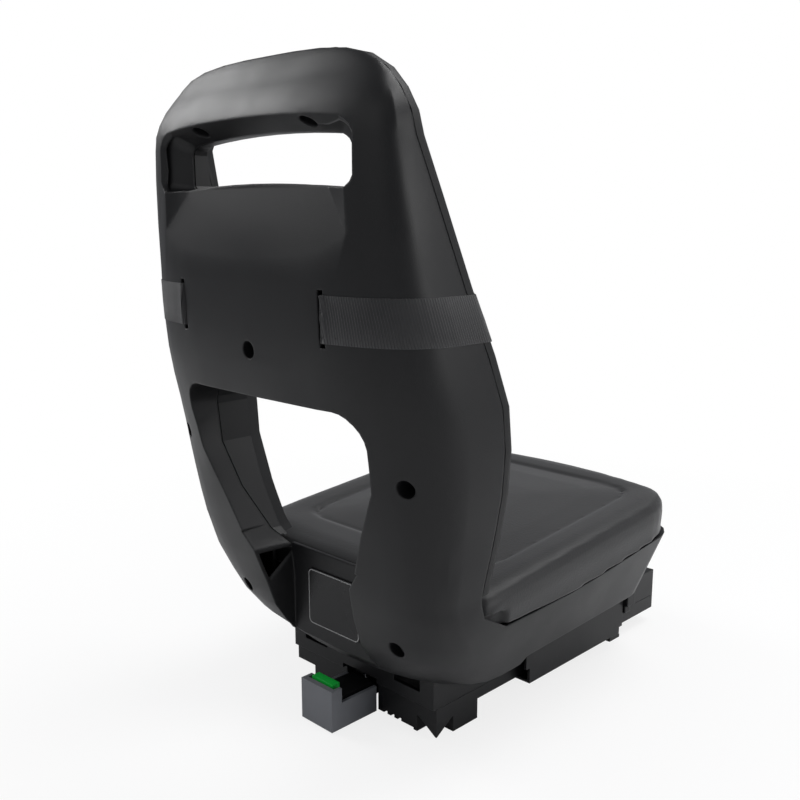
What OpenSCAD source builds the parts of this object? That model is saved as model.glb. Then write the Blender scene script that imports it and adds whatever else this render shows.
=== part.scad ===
// Rear child bike seat: a moulded bucket with a padded back and a seat cushion on a
// quick-release rack adapter. Millimetres. The seat faces +Y, +X is its right side, and the
// origin lies on the ground below the middle of the adapter.

/* [Back] */
// Height of the back's top edge above the ground
back_top = 515; // [500:1:540]
// Widest width of the back, at hip height
back_w = 316; // [300:1:332]
// Height of the widest place
hip_z = 250; // [242:1:258]
// Width across the shoulders, beside the handle bar
shoulder_w = 268; // [256:1:276]
// Height of the shoulders, where the top corners start to round
shoulder_z = 456; // [450:1:460]
// Width of the back where it meets the seat cushion
waist_w = 286; // [280:1:290]
// How far the rearmost face lies behind the origin
rear_depth = 272; // [268:1:278]
// How far the lean carries the parting line back between hip and shoulder
lean = 63; // [56:1:68]

/* [Bucket] */
// Wall thickness of the moulded shell
wall = 3; // [2.4:0.1:3.6]
// Height of the parting rim below the rear of the cushion
rim_z = 109; // [106:1:112]
// Rise of the parting rim from its low stretch to the front
rim_rise = 17.5; // [12:0.5:22]
// Width of the bucket's underside
floor_w = 236; // [230:1:240]
// Distance of the bucket's front face from the origin
front_y = 102; // [98:1:108]
// Radius of the bucket's front corners
front_r = 24; // [18:1:30]
// Visible joint between the shell and the padding
joint_gap = 0.8; // [0.4:0.1:1.2]

/* [Handle opening] */
// Width of the grip opening under the handle bar
grip_w = 180; // [164:1:186]
// Height of the grip opening's lower edge at the middle
grip_low = 429; // [426:1:432]
// Clear height of the grip opening at the middle
grip_h = 34; // [31:1:36]
// Radius of the grip opening's corners
grip_r = 9; // [6:1:12]
// Fall of the grip opening's arched edges from the middle to the sides
grip_fall = 5; // [2:0.5:7]
// Distance of the grip opening's straight throat behind the origin
throat_y = 250; // [247:1:253]
// How much wider the bevel makes the grip opening on each side at the rear face
grip_flare = 25; // [18:1:28]
// Depth of the scoop in the rear face below the grip opening
scoop_depth = 11; // [8:1:14]
// Height where the scoop below the grip opening fades out
scoop_low = 375; // [370:1:384]

/* [Lower opening] */
// Width of the lower opening at its top
window_w = 206; // [196:1:212]
// Height of the lower opening's upper edge
window_top = 279; // [272:1:284]
// Width of the lower opening just above the cushion
window_low_w = 108; // [100:1:116]
// Height of the label panel's upper edge
window_low = 138; // [135:1:140]
// Radius of the lower opening's top corners
window_r = 24; // [16:1:30]
// Distance of the label panel's face behind the origin
label_y = 192; // [190:1:195]
// Width of the label panel between the legs
label_panel_w = 100; // [92:1:106]
// Width of the label plate
label_w = 62; // [54:1:70]
// Height of the label plate
label_h = 49; // [42:1:54]

/* [Padding] */
// Height of the inset seat field at its front seam
cushion_front_z = 157.5; // [152:0.5:162]
// Height of the inset seat field at its rear seam
cushion_rear_z = 138; // [134:0.5:141]
// How far the rolled edge stands above the inset field
cushion_roll = 3.5; // [2:0.5:6]
// Overhang of the cushion in front of the bucket
cushion_nose = 12; // [8:1:16]
// Thickness of the back pad
pad_t = 14; // [10:1:18]
// Depth of the dish across the back panel
dish = 30; // [20:1:32]

/* [Belt] */
// Width of the webbing
belt_w = 32; // [28:1:34]
// Thickness of the webbing
belt_t = 1.6; // [1.2:0.1:2]
// Height of the middle of the webbing
belt_z = 341.5; // [336:0.5:347]
// Spacing of the two slots in the back
slot_span = 159; // [146:1:168]
// Opening of a slot across the back
slot_gap = 5; // [4.5:0.1:6]
// Height left over in a slot above and below the webbing
slot_spare = 3; // [2:0.5:4]

/* [Adapter] */
// Width of the adapter
adapter_w = 170; // [166:1:174]
// Length of the adapter
adapter_l = 330; // [326:1:340]
// Height of the adapter's upper tray
tray_h = 27; // [25:0.5:29]
// Height of the adapter's lower frame
frame_h = 26.7; // [25.7:0.1:28]
// Height of the frame's side rails above the ground
rail_z = 17.2; // [16:0.1:18]
// Length of the rear corner blocks
block_l = 50; // [44:1:56]
// Wall of the adapter's mouldings
adapter_wall = 3.5; // [3:0.1:4]

/* [Side plates] */
// Length of a side plate
plate_l = 151; // [136:1:156]
// Height of a side plate
plate_h = 35.5; // [32:0.5:37]
// Distance from a plate's outer face to the middle plane
plate_x = 97; // [95.5:0.5:99]
// Sheet thickness of a side plate
plate_t = 2.5; // [2:0.1:3]

/* [Lock] */
// Width of the lock handle
lock_w = 37.4; // [34:0.2:40]
// Height of the lock handle's end wall
lock_h = 35; // [32:0.5:37]
// How far the closed lock handle stands out behind the adapter
lock_out = 47.5; // [42:0.5:52]
// Travel of the lock handle when it is pulled
lock_travel = 18; // [12:1:20]
// Running clearance between sliding pieces
slide_gap = 0.4; // [0.3:0.05:0.6]

/* [Screws] */
// Thread diameter of the case screws
case_screw_d = 5; // [4:0.5:6]
// Head diameter of the case screws
case_head_d = 10; // [8:0.5:11]
// Diameter of the recess around a case screw's head
recess_d = 13; // [12:0.5:14]
// Depth of the recess around a case screw's head
recess_depth = 12; // [10:0.5:13]
// Thread diameter of the seat bolts
seat_bolt_d = 6; // [5:0.5:6.5]

/* [Hidden] */

shell_black = [0.1, 0.1, 0.11];
pad_grey = [0.2, 0.2, 0.21];
metal_grey = [0.55, 0.56, 0.58];
lock_grey = [0.42, 0.43, 0.45];

gap = 0.3;                       // seating gap between pieces that only touch
floor_z = frame_h + tray_h;      // underside of the bucket, on the tray
rear_y = -rear_depth;
grip_top = grip_low + grip_h;
rear_end = -adapter_l / 2;       // rear face of the tray
front_end = adapter_l / 2;

function mix(a, b, t) = a + (b - a) * t;

// Stations of the back, from the ground up: height, half width, rearmost Y, parting Y and
// the squareness of the section's corners.
hip_part = -175;
shoulder_part = hip_part - lean;
top_span = back_top - shoulder_z;
stations = [
  [floor_z,                       floor_w / 2,                        rear_y + 87,  -122, 2.4],
  [mix(floor_z, rim_z, 0.3),      mix(floor_w, waist_w, 0.32) / 2,    rear_y + 72,  -130, 3.6],
  [mix(floor_z, rim_z, 0.6),      mix(floor_w, waist_w, 0.58) / 2,    rear_y + 61,  -138, 4.1],
  [mix(floor_z, rim_z, 0.9),      mix(floor_w, waist_w, 0.82) / 2,    rear_y + 55,  -150, 4.3],
  [rim_z + 16,                    mix(floor_w, waist_w, 0.97) / 2,    rear_y + 48,  -174, 4.4],
  [rim_z + 30,                    waist_w / 2,                        rear_y + 44,  -179, 4.4],
  [rim_z + 46,                    mix(waist_w, back_w, 0.28) / 2,     rear_y + 40,  -181, 4.4],
  [mix(rim_z + 46, hip_z, 0.32),  mix(waist_w, back_w, 0.6) / 2,      rear_y + 33,  hip_part - 3, 4.4],
  [mix(rim_z + 46, hip_z, 0.66),  mix(waist_w, back_w, 0.85) / 2,     rear_y + 25,  hip_part, 4.1],
  [hip_z,                         back_w / 2,                         rear_y + 17,  hip_part, 3.8],
  [mix(hip_z, shoulder_z, 0.15),  mix(back_w, shoulder_w, 0.02) / 2,  rear_y + 8,   hip_part - 3, 3.7],
  [mix(hip_z, shoulder_z, 0.32),  mix(back_w, shoulder_w, 0.19) / 2,  rear_y + 2,   mix(hip_part, shoulder_part, 0.22), 3.8],
  [mix(hip_z, shoulder_z, 0.54),  mix(back_w, shoulder_w, 0.48) / 2,  rear_y,       mix(hip_part, shoulder_part, 0.48), 4],
  [mix(hip_z, shoulder_z, 0.82),  mix(back_w, shoulder_w, 0.78) / 2,  rear_y,       mix(hip_part, shoulder_part, 0.8), 4],
  [shoulder_z,                    shoulder_w / 2,                     rear_y + 0.5, shoulder_part, 3.8],
  [shoulder_z + top_span * 0.25,  shoulder_w / 2 - 2.5,               rear_y + 2,   shoulder_part - 2, 3.6],
  [shoulder_z + top_span * 0.49,  shoulder_w / 2 - 10,                rear_y + 8,   shoulder_part - 3.5, 3.3],
  [shoulder_z + top_span * 0.7,   shoulder_w / 2 - 21,                rear_y + 17,  shoulder_part - 4.5, 2.8],
  [shoulder_z + top_span * 0.87,  shoulder_w / 2 - 38,                rear_y + 22,  shoulder_part - 5.5, 2.6],
  [shoulder_z + top_span * 0.97,  shoulder_w / 2 - 66,                rear_y + 26,  shoulder_part - 6, 2.4],
  [back_top,                      shoulder_w / 2 - 105,               rear_y + 27,  shoulder_part - 6.5, 2]
];
HEIGHT = 0;
HALF_W = 1;
REAR = 2;
PART = 3;
SQUARE = 4;
LAST = len(stations) - 1;
PAN_TOP = 3;                     // last station that belongs to the bucket's own wall

// Smooth value of one column at station number s, which may lie between two stations
function smooth(col, s) =
  let (i = min(floor(s), LAST - 1), t = s - i,
       a = stations[max(i - 1, 0)][col], b = stations[i][col],
       c = stations[i + 1][col], d = stations[min(i + 2, LAST)][col])
  0.5 * (2 * b + (c - a) * t + (2 * a - 5 * b + 4 * c - d) * t * t
         + (3 * b - a - 3 * c + d) * t * t * t);

// Station number of a height
function station_at(z, i = 0) =
  (i >= LAST - 1 || z < stations[i + 1][HEIGHT])
    ? i + (z - stations[i][HEIGHT]) / (stations[i + 1][HEIGHT] - stations[i][HEIGHT])
    : station_at(z, i + 1);

// Height of the parting rim along the seat
function rim_at(y) = rim_z + rim_rise * pow(max(0, (y + 60) / (front_y + 60)), 1.15);

// Point j of a rear section: 0 is the rear middle, last is the parting line
function rear_point(s, j, last, inset) =
  let (w = smooth(HALF_W, s) - inset, part = smooth(PART, s),
       rear = smooth(REAR, s) + inset, n = smooth(SQUARE, s), a = 90 * j / last)
  [w * pow(sin(a), 2 / n), part + (rear - part) * pow(cos(a), 2 / n)];

// Y of the rear face at a height and a distance from the middle plane
function rear_face(x, z) =
  let (s = station_at(z), w = smooth(HALF_W, s), part = smooth(PART, s), n = smooth(SQUARE, s))
  part + (smooth(REAR, s) - part) * pow(1 - pow(min(abs(x) / w, 1), n), 1 / n);

// Solid from a list of closed rings with the same number of points in each. The rings run
// counterclockwise when seen from the side that the stack grows to.
module loft(rings, fold = 0) {
  n = len(rings[0]);
  rows = len(rings);
  sides = [for (r = [0:rows - 2]) for (i = [0:n - 1])
    let (k = (i + 1) % n, low = r * n, high = low + n)
    each [[low + i, high + k, low + k], [low + i, high + i, high + k]]];
  bottom = fold == 0 ? [[for (i = [0:n - 1]) i]]
         : fold == 1 ? end_strip([for (i = [0:n - 1]) i])
         : concat(end_strip([for (i = [0:n / 2]) i]),
                  end_strip(concat([for (i = [n / 2:n - 1]) i], [0])));
  top = [for (face = bottom) [for (i = [len(face) - 1:-1:0]) (rows - 1) * n + face[i]]];
  polyhedron(points = [for (ring = rings) each ring], faces = concat(bottom, top, sides),
             convexity = 8);
}

// Triangles across the end of a stack, between the first and the second half of a run of points
function end_strip(run) =
  let (m = len(run))
  [for (i = [0:ceil(m / 2) - 2])
    let (a = run[i], b = run[i + 1], c = run[m - 2 - i], d = run[m - 1 - i])
    each b == c ? [[a, b, d]] : [[a, b, d], [b, c, d]]];

// Closed band through rings that lie round an opening, the last joined to the first. They run
// as in loft, from the band's outer front edge to its outer rear edge and back inside.
module tube(rings) {
  n = len(rings[0]);
  rows = len(rings);
  polyhedron(points = [for (ring = rings) each ring], convexity = 8,
    faces = [for (r = [0:rows - 1]) for (i = [0:n - 1])
      let (k = (i + 1) % n, low = r * n, high = ((r + 1) % rows) * n)
      each [[low + i, high + k, low + k], [low + i, high + i, high + k]]]);
}

// Whole ring from its right half, which runs from the rear middle to the front middle
function whole_ring(half) = concat(
  half,
  [for (i = [len(half) - 2:-1:1]) [-half[i][0], half[i][1], half[i][2]]]);

REAR_STEPS = 8;                  // points round a rear corner
SIDE_STEPS = 8;                  // points along the side and round the front corner
ARC_STEPS = 4;                   // points round the front corner alone

// Side and front of the bucket at height share t: straight side, round corner, front middle
function pan_point(k, t, inset) =
  let (w = mix(floor_w / 2 - 7, waist_w / 2 - 2, t) - inset,
       f = mix(front_y - 4, front_y, t) - inset, r = max(4, front_r - inset),
       start = [smooth(HALF_W, t * PAN_TOP) - inset, smooth(PART, t * PAN_TOP)],
       a = 90 * (k - 3) / ARC_STEPS)
  k <= 3 ? [mix(start[0], w, k / 3), mix(start[1], f - r, k / 3)]
  : k <= 3 + ARC_STEPS ? [w - r + r * cos(a), f - r + r * sin(a)]
  : [0, f];

// The bucket's outer or inner form. over carries it past the parting surface, where it is cut.
// The inner form starts narrow, which leaves solid lower edges that the notches are cut from.
edge_solid = 27;
function bucket_rings(inset, over, fine) = concat(
  [for (t = inset > 0 ? [0, 0.18, 0.6, 1] : [0, 0.35, 0.7, 1])
    let (s = t * PAN_TOP, low = floor_z + inset, in = inset > 0 && t == 0 ? edge_solid : inset)
    whole_ring(concat(
      [for (j = [0:REAR_STEPS])
        let (p = rear_point(s, j, REAR_STEPS, in))
        [p[0], p[1], mix(low, stations[PAN_TOP][HEIGHT], t)]],
      [for (k = [1:SIDE_STEPS])
        let (p = pan_point(k, t, in))
        [p[0], p[1], mix(low, rim_at(p[1]) + over, t)]]))],
  [for (s = [PAN_TOP + 1:fine:LAST])
    let (z = smooth(HEIGHT, s) - inset * max(0, s - LAST + 6) / 6,
         end = rear_point(s, REAR_STEPS, REAR_STEPS, inset))
    whole_ring(concat(
      [for (j = [0:REAR_STEPS])
        let (p = rear_point(s, j, REAR_STEPS, inset))
        [p[0], inset > 0 ? max(p[1], scoop_y(p[0], z) + inset) : p[1], z]],
      [for (k = [1:SIDE_STEPS])
        let (f = 1 - (k - 1) / (SIDE_STEPS - 1)) [end[0] * f, end[1] + over + 2 * (1 - f * f), z]]))]);

// Everything in front of and above the parting surface, which is moved by shift
module front_region(shift = 0) {
  line = concat(
    [for (s = [LAST:-1:PAN_TOP + 1]) [smooth(PART, s) + shift, smooth(HEIGHT, s)]],
    [for (y = [-145, -120, -60, -20, 20, 60, front_y + 60]) [y + shift, rim_at(y)]]);
  outline = concat(line, [[front_y + 60, back_top + 60], [line[0][0], back_top + 60]]);
  rotate([90, 0, 90])
    translate([0, 0, -back_w])
      linear_extrude(2 * back_w)
        polygon(outline);
}

// Arched opening with round corners, as points in X and Z that run counterclockwise when
// seen from the rear
function arched(half, low, top, fall, r) = concat(
  [for (i = [0:8])
    let (x = mix(r - half, half - r, i / 8)) [x, low - fall * pow(x / half, 2)]],
  [for (a = [-67.5:22.5:-22.5]) [half - r + r * cos(a), low - fall + r + r * sin(a)]],
  [for (a = [22.5:22.5:67.5]) [half - r + r * cos(a), top - fall - r + r * sin(a)]],
  [for (i = [0:8])
    let (x = mix(half - r, r - half, i / 8)) [x, top - fall * pow(x / half, 2)]],
  [for (a = [112.5:22.5:157.5]) [r - half + r * cos(a), top - fall - r + r * sin(a)]],
  [for (a = [202.5:22.5:247.5]) [r - half + r * cos(a), low - fall + r + r * sin(a)]]);

function grip_at(grow, flare = 0) =
  arched(grip_w / 2 + grow + flare * grip_flare, grip_low - grow,
         grip_top + grow + flare * 11, grip_fall, grip_r + grow + flare * 6);

// Lower opening above the label panel: round top corners, legs that come together downwards
function window_at(grow) =
  let (top = window_top + grow, half = window_w / 2 + grow, low = window_low_w / 2 + grow,
       r = window_r + grow, side = [[mix(low, half, 0.24), window_low + 12],
                                    [mix(low, half, 0.57), window_low + 49],
                                    [half - 3, window_top - 56]])
  concat(
    [[-low, window_low - max(0, grow)], [low, window_low - max(0, grow)]], side,
    [for (a = [0:15:90]) [half - r + r * cos(a), top - r + r * sin(a)]],
    [for (a = [90:15:180]) [r - half + r * cos(a), top - r + r * sin(a)]],
    [for (i = [2:-1:0]) [-side[i][0], side[i][1]]]);

// Carries an outline in X and Z straight through the back from y0 forward to y1
module through(outline, y0, y1) {
  translate([0, y1, 0])
    rotate([90, 0, 0])
      linear_extrude(y1 - y0)
        polygon(outline);
}

// Ring in X and Z placed at one Y, turned so that a stack grows rearwards
function ring_at(outline, y) = [for (p = outline) [p[0], y, p[1]]];

// Grip opening with its bevelled mouth at the rear
mouth_l = rear_depth - throat_y;
module grip_mouth() {
  loft([ring_at(grip_at(0), -150), ring_at(grip_at(0), -throat_y),
        ring_at(grip_at(0, 1), -throat_y - mouth_l),
        ring_at(grip_at(0, 1.6), -throat_y - 1.6 * mouth_l)]);
}

// Four-cornered ring across the back at height z, from depth y rearwards. Its sides spread
// by slope millimetres for each millimetre of depth.
function scoop_ring(half, y, z, slope) =
  let (out = half + slope * 40)
  [[-out, y - 40, z], [out, y - 40, z], [half, y, z], [-half, y, z]];

// Shallow scoop in the rear face below the grip opening
scoop_half = grip_w / 2 - 12;
scoop_spread = 42;
scoop_slope = 3.2;
scoop_top = grip_low - 3;
module scoop() {
  deep = rear_y + scoop_depth;
  loft([scoop_ring(scoop_half + scoop_spread, rear_y - 1, scoop_low, scoop_slope),
        scoop_ring(scoop_half, deep, scoop_top, scoop_slope),
        scoop_ring(scoop_half, deep, scoop_top + 17, scoop_slope)]);
}

// Y of the scoop's surface at a place on the rear face, far behind it where there is none
function scoop_y(x, z) =
  z < scoop_low || z > grip_top + 8 ? rear_y - 100
  : let (t = min(1, (z - scoop_low) / (scoop_top - scoop_low)))
    rear_y + mix(-1, scoop_depth, t)
    - max(0, abs(x) - scoop_half - scoop_spread * (1 - t)) / scoop_slope;

// Recess between the legs, whose floor is the label panel
module label_recess() {
  half = label_panel_w / 2;
  y = -label_y;
  low_half = window_low_w / 2;
  loft([scoop_ring(half, y, floor_z - 20, 0.1),
        scoop_ring(half, y, window_low - 28, 0.1),
        scoop_ring(low_half, y, window_low + 1, 0.1),
        scoop_ring(low_half + 12, y, window_low + 16, 0.1)]);
}

// Y where the collars of the shell and of the back panel meet in the openings, by height
meeting_line = [[floor_z, -186], [window_low - 5, -188], [window_low + 8, -201],
                [window_low + 36, -217], [window_low + 70, -225], [window_top, -228],
                [window_top + 40, -238], [grip_low - 10, 1 - throat_y], [back_top, -throat_y]];
function meeting_y(z) = lookup(z, meeting_line);

// Case screws: where the head's recess meets the outer face, and the tilt of its axis from
// straight forward
foot_screw_x = 90;
foot_screw_z = 96;
leg_screw_x = 127;
leg_screw_z = 231;
handle_screw_x = 60.7;
handle_screw_z = grip_top + 4;
centre_screw_z = 314;
bevel_tilt = 62;
leg_extra = 7;                   // deeper recess where the rear face slopes away
case_screws = [
  [-handle_screw_x, -throat_y - 11, handle_screw_z, bevel_tilt, recess_depth],
  [handle_screw_x, -throat_y - 11, handle_screw_z, bevel_tilt, recess_depth],
  [0, rear_face(0, centre_screw_z), centre_screw_z, 0, recess_depth],
  [-leg_screw_x, rear_face(leg_screw_x, leg_screw_z), leg_screw_z, 0, recess_depth + leg_extra],
  [leg_screw_x, rear_face(leg_screw_x, leg_screw_z), leg_screw_z, 0, recess_depth + leg_extra],
  [-foot_screw_x, rear_face(foot_screw_x, foot_screw_z), foot_screw_z, 0, recess_depth],
  [foot_screw_x, rear_face(foot_screw_x, foot_screw_z), foot_screw_z, 0, recess_depth]
];
case_screw_l = 18;
case_head_h = 3.5;
function boss_end(s) = s[4] + wall;

// Children are drawn along the axis of case screw s, with Z pointing into the back
module at_screw(s) {
  translate([s[0], s[1], s[2]])
    rotate([s[3] - 90, 0, 0])
      children();
}

function round_outline(x, z, r, n = 20) =
  [for (i = [0:n - 1]) [x + r * cos(360 * i / n), z + r * sin(360 * i / n)]];
function on_rear_face(outline, y = 1.2) = [for (p = outline) [p[0], rear_face(p[0], p[1]) + y, p[1]]];
function on_meeting(outline, y = 0) = [for (p = outline) [p[0], meeting_y(p[1]) + y, p[1]]];

// Shell's part of every screw place: a boss that ends in a flat seat for the panel's boss
boss_r = recess_d / 2 + wall;
module shell_bosses() {
  for (s = case_screws)
    if (s[3] > 0)
      at_screw(s)
        translate([0, 0, 1.5]) cylinder(h = boss_end(s) - 1.5, r = boss_r, $fn = 32);
    else {
      outer = round_outline(s[0], s[2], boss_r);
      loft([ring_at(outer, s[1] + boss_end(s)), on_rear_face(outer),
            on_rear_face(round_outline(s[0], s[2], 1))]);
    }
}

module screw_cuts() {
  for (s = case_screws)
    at_screw(s) {
      translate([0, 0, -20]) cylinder(h = s[4] + 20, d = recess_d, $fn = 32);
      translate([0, 0, s[4] - 1])
        cylinder(h = wall + 2, d = case_screw_d + 0.6, $fn = 24);
    }
}

// Places of the board's screws and of the seat bolts
board_spots = [[-62, -100], [62, -100], [-62, 62], [62, 62]];
bolt_spots = [[-45, -70], [45, -70], [-45, 40], [45, 40]];
board_t = 4;
board_post_d = 14;
board_head_d = 9;
board_screw_d = 4.5;
board_screw_l = 16;
function rim_tilt(y) = atan((rim_at(y + 1) - rim_at(y - 1)) / 2);

// Everything above the parting rim's height line raised by up
module above_rim(up) {
  ys = [-260, -200, -120, -60, -40, -20, 0, 20, 40, 60, 80, 100, 160];
  rotate([90, 0, 90])
    translate([0, 0, -back_w])
      linear_extrude(2 * back_w)
        polygon(concat([for (y = ys) [y, rim_at(y) + up]],
                       [[160, back_top], [-260, back_top]]));
}

// Slots for the webbing
slot_x = slot_span / 2;
module belt_slots() {
  tall = belt_w + 2 * slot_spare;
  for (side = [-1, 1])
    translate([side * slot_x - slot_gap / 2, rear_y - 5, belt_z - tall / 2])
      cube([slot_gap, 20, tall]);
}

// Space for the side plates below the bucket's overhang, with a slanted rear end
notch_x = plate_x - 4;
notch_h = 6;
module plate_notch() {
  low = floor_z - 20;
  high = floor_z + notch_h;
  rear = -plate_l / 2 - 42;
  front = plate_l / 2 + 14;
  for (side = [0, 1])
    mirror([side, 0, 0])
      translate([notch_x, 0, 0])
        rotate([90, 0, 90])
          linear_extrude(60)
            polygon([[rear, low], [front, low], [front, high], [rear + 26, high]]);
}

// Skirts that reach down beside the adapter at the bucket's front corners
module front_skirts() {
  for (side = [0, 1])
    mirror([side, 0, 0]) {
      translate([86.5, 91, floor_z - 14]) cube([14.5, front_y - 91 + 2, 16]);
      translate([86.5, 91, floor_z - 21]) cube([12, front_y - 93, 9]);
    }
}

// Collars of the two openings, which the openings are then cut through
module shell_collars() {
  tube([on_meeting(grip_at(wall)), ring_at(grip_at(wall), -throat_y - 1),
        on_rear_face(grip_at(wall, 1)), on_rear_face(grip_at(-0.6, 1)),
        ring_at(grip_at(-0.6), -throat_y - 1), on_meeting(grip_at(-0.6))]);
  tube([on_meeting(window_at(wall)), on_rear_face(window_at(wall)),
        on_rear_face(window_at(-0.6)), on_meeting(window_at(-0.6))]);
}

// Label panel with its two side walls
module label_panel() {
  half = label_panel_w / 2;
  low = floor_z + 9;
  zs = [for (i = [0:5]) mix(low, window_low + 4, i / 5)];
  translate([-half - 2, -label_y - 1, low])
    cube([2 * half + 4, wall + 1, window_low - low]);
  for (side = [0, 1])
    mirror([side, 0, 0])
      translate([half - 1, 0, 0])
        rotate([90, 0, 90])
          linear_extrude(wall + 1)
            polygon(concat([for (z = zs) [min(rear_face(half + wall, z) + 1.2, -label_y - 1), z]],
                           [[wall - label_y, zs[5]], [wall - label_y, zs[0]]]));
}

module rear_shell() {
  color(shell_black)
    difference() {
      union() {
        difference() {
          loft(bucket_rings(0, 5, 2 / 3), 2);
          loft(bucket_rings(wall, 10, 1), 2);
        }
        shell_collars();
        label_panel();
        shell_bosses();
        for (p = board_spots)
          translate([p[0], p[1], floor_z + 1])
            cylinder(h = board_low(p[1]) - floor_z + 3, d = board_post_d, $fn = 32);
        front_skirts();
      }
      front_region();
      grip_mouth();
      scoop();
      label_recess();
      through(window_at(0), rear_y - 20, -150);
      screw_cuts();
      belt_slots();
      plate_notch();
      intersection() {
        above_rim(joint_gap - gap - board_t - gap);
        translate([-100, -150, floor_z + 5]) cube([200, 230, 120]);
      }
      for (p = board_spots)
        translate([p[0], p[1], board_low(p[1])])
          rotate([rim_tilt(p[1]), 0, 0])
            translate([0, 0, -board_screw_l]) cylinder(h = 40, d = board_screw_d - 0.6, $fn = 24);
      for (p = bolt_spots)
        translate([p[0], p[1], floor_z - 5]) cylinder(h = 20, d = seat_bolt_d + 0.6, $fn = 24);
    }
}
function board_low(y) = rim_at(y) + joint_gap - gap - board_t;

// Back panel: a dished plate with collars around both openings and a boss for every screw
panel_t = 3;
panel_inset = 3.4;
pad_low = cushion_rear_z + cushion_roll + 3;
PANEL_STEPS = 7;

// How far the middle of the panel lies behind its edges
function dish_at(z) = mix(dish, 7, min(1, max(0, (z - 300) / 110)))
                      * min(1, max(0.06, (back_top - 35 - z) / 40))
                      * mix(0.5, 1, min(1, max(0, (z - pad_low) / 56)));
function panel_y(x, s) = smooth(PART, s)
  - dish_at(smooth(HEIGHT, s)) * (1 - pow(min(1, abs(x) / smooth(HALF_W, s)), 4));

// Horizontal ring between two surfaces that follow the panel, rear and front being their
// distances from it
function panel_ring(s, z, inset, rear, front) =
  let (w = smooth(HALF_W, s) - inset,
       xs = [for (i = [-PANEL_STEPS:PANEL_STEPS]) w * i / PANEL_STEPS])
  concat([for (x = xs) [x, panel_y(x, s) + rear, z]],
         [for (i = [len(xs) - 1:-1:0]) [xs[i], panel_y(xs[i], s) + front, z]]);

function panel_stations(low, last) =
  concat([station_at(low)], [for (s = [ceil(station_at(low) + 0.2):1:last]) s]);
function panel_rings(low, last, inset, rear, front) =
  [for (s = panel_stations(low, last)) panel_ring(s, smooth(HEIGHT, s), inset, rear, front)];

// Bosses that meet those of the shell. The tilted ones run on until they reach the plate.
tilted_boss_end = 26;
boss_web = 6;                    // web that ties a tilted boss to the plate
module panel_bosses() {
  for (s = case_screws) {
    back = s[2] < pad_low ? foot_y : panel_y(s[0], station_at(s[2]));
    end = s[3] > 0 ? tilted_boss_end : back + gap + 1.2 - s[1];
    at_screw(s)
      translate([0, 0, boss_end(s) + gap])
        cylinder(h = end - boss_end(s) - gap, d = 11, $fn = 24);
  }
  for (s = case_screws)
    if (s[3] > 0)
      translate([s[0] - boss_web / 2, s[1] + 9, s[2] + 13]) cube([boss_web, 13, 8]);
}

function on_panel(outline) =
  [for (p = outline)
    [p[0], max(panel_y(p[0], station_at(p[1])) + gap, meeting_y(p[1]) + 2) + 1.2, p[1]]];

// Tongues that reach down behind the cushion to the lower screws
foot_y = panel_y(foot_screw_x, station_at(pad_low));
module panel_feet(grow = 0) {
  for (side = [-1, 1])
    translate([side * foot_screw_x - 11 - grow, foot_y + gap - grow, foot_screw_z - 11])
      cube([22 + 2 * grow, panel_t + 2 * grow, pad_low - foot_screw_z + 14 + grow]);
}

module back_panel() {
  top = LAST - 2;
  color(shell_black)
    difference() {
      union() {
        loft(panel_rings(pad_low, top, panel_inset, gap, gap + panel_t), 1);
        panel_feet();
        panel_bosses();
        tube([on_panel(grip_at(wall)), on_meeting(grip_at(wall), joint_gap),
              on_meeting(grip_at(-0.6), joint_gap), on_panel(grip_at(-0.6))]);
        difference() {
          tube([on_panel(window_at(wall)), on_meeting(window_at(wall), joint_gap),
                on_meeting(window_at(-0.6), joint_gap), on_panel(window_at(-0.6))]);
          translate([-100, -260, window_low - 20])
            cube([200, 200, pad_low - window_low + 20]);
        }
      }
      through(grip_at(0), -throat_y - 30, -150);
      through(window_at(0), rear_y - 20, -150);
      for (s = case_screws)
        at_screw(s) cylinder(h = s[4] + case_screw_l + 2, d = case_screw_d - 0.8, $fn = 24);
    }
}

// Back pad: its edge wraps round the panel and stays joint_gap clear of the shell
function pad_ring(s) =
  let (w = smooth(HALF_W, s), z = smooth(HEIGHT, s), part = smooth(PART, s),
       end = max(0, s - LAST + 5) / 5, t = pad_t * sqrt(1 - 0.8 * pow(end, 2)),
       half = concat(
         [for (i = [0:6])
           let (x = (w - panel_inset - 0.1) * i / 6) [x, panel_y(x, s) + joint_gap, z]],
         [[w - panel_inset + 0.1, part + joint_gap, z], [w, part + joint_gap, z], [w, part + t * 0.35, z], [w - t * 0.08, part + t * 0.62, z],
          [w - t * 0.3, part + t * 0.85, z], [w - t * 0.7, part + t, z]],
         [for (i = [5:-1:0]) let (x = (w - t) * i / 6.4) [x, panel_y(x, s) + gap + panel_t + t, z]]))
  whole_ring(half);

module back_pad() {
  color(pad_grey)
    difference() {
      loft([for (s = panel_stations(pad_low, LAST)) pad_ring(s)], 2);
      loft(panel_rings(pad_low - 20, LAST - 1 + 0.02, panel_inset - gap, -8, panel_t + 2 * gap), 1);
      loft([ring_at(grip_at(26), 48 - throat_y), ring_at(grip_at(1.5), 8 - throat_y),
            ring_at(grip_at(1.5), -throat_y - 20)]);
      loft([ring_at(window_at(24), -140), ring_at(window_at(3), -196),
            ring_at(window_at(3), -260)]);
      panel_feet(gap);
    }
}

// Board under the seat cushion, screwed to four posts
module board_holes(d) {
  for (p = board_spots)
    translate([p[0], p[1], board_low(p[1])])
      rotate([rim_tilt(p[1]), 0, 0]) {
        translate([0, 0, -3]) cylinder(h = board_t + 6, d = d, $fn = 24);
        translate([0, 0, board_t - 2.7])
          cylinder(h = 3.4, d1 = board_screw_d, d2 = board_head_d + 1.6, $fn = 24);
      }
}

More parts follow.
